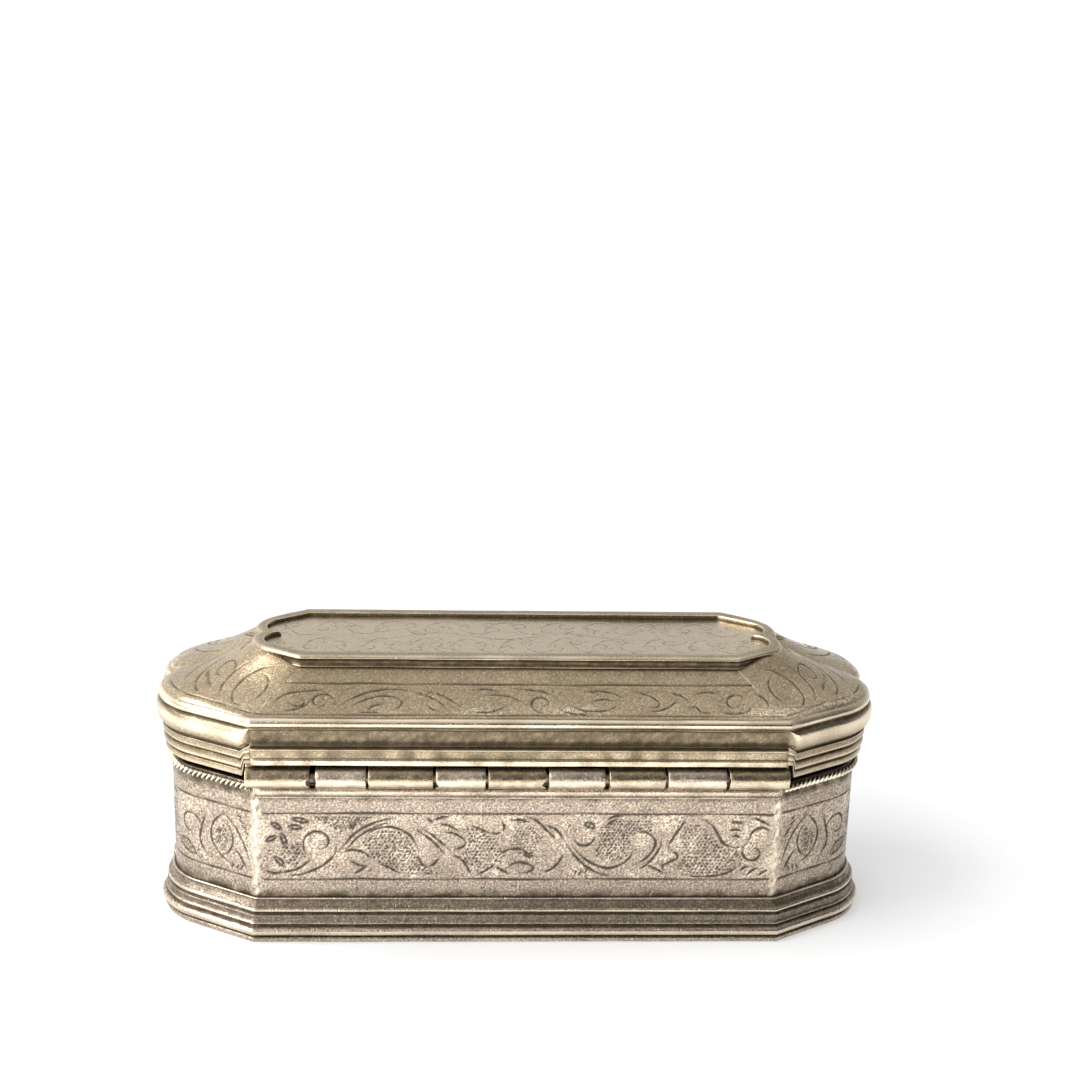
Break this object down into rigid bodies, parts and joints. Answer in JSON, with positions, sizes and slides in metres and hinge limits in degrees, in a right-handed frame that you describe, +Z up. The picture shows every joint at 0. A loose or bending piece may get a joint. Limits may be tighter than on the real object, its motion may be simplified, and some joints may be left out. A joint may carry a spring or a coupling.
{
  "type": "needle case",
  "caption": "Small engraved brass casket for needles, with canted corners, lobed ends, reeded mouldings and a hipped lid on a barrel hinge.",
  "frame": {"origin": "middle of the flat base, where the case stands", "axes": "+X along the case, +Y from the hinge side to the opening side, +Z up"},
  "size_m": [0.1, 0.0365, 0.0392],
  "materials": {
    "body_brass": "worn satin with dark patina in the engraving",
    "lid_brass": "worn satin, olive brown tarnish",
    "wire_brass": "worn satin",
    "pin_brass": "dull",
    "inner_brass": "dull, tarnished"
  },
  "bodies": {
    "case": {"base_plate": "inner_brass", "base_moulding": "body_brass", "body_wall": "body_brass", "inner_bezel": "inner_brass", "rope_border": "wire_brass", "body_rail": "body_brass", "body_knuckle_1": "body_brass", "body_knuckle_2": "body_brass", "body_knuckle_3": "body_brass", "body_knuckle_4": "body_brass", "hinge_pin": "pin_brass"},
    "lid": {"lid_cornice": "lid_brass", "lid_rail": "lid_brass", "lid_slope": "lid_brass", "lid_rim": "lid_brass", "lid_panel": "lid_brass", "lid_knuckle_1": "lid_brass", "lid_knuckle_2": "lid_brass", "lid_knuckle_3": "lid_brass", "lid_knuckle_4": "lid_brass", "lid_knuckle_5": "lid_brass"}
  },
  "joints": [
    {"name": "lid_hinge", "type": "hinge", "parent": "case", "child": "lid", "pos_m": [0, -0.0173, 0.02465], "axis": [1, 0, 0], "range_deg": [0, 150]}
  ]
}
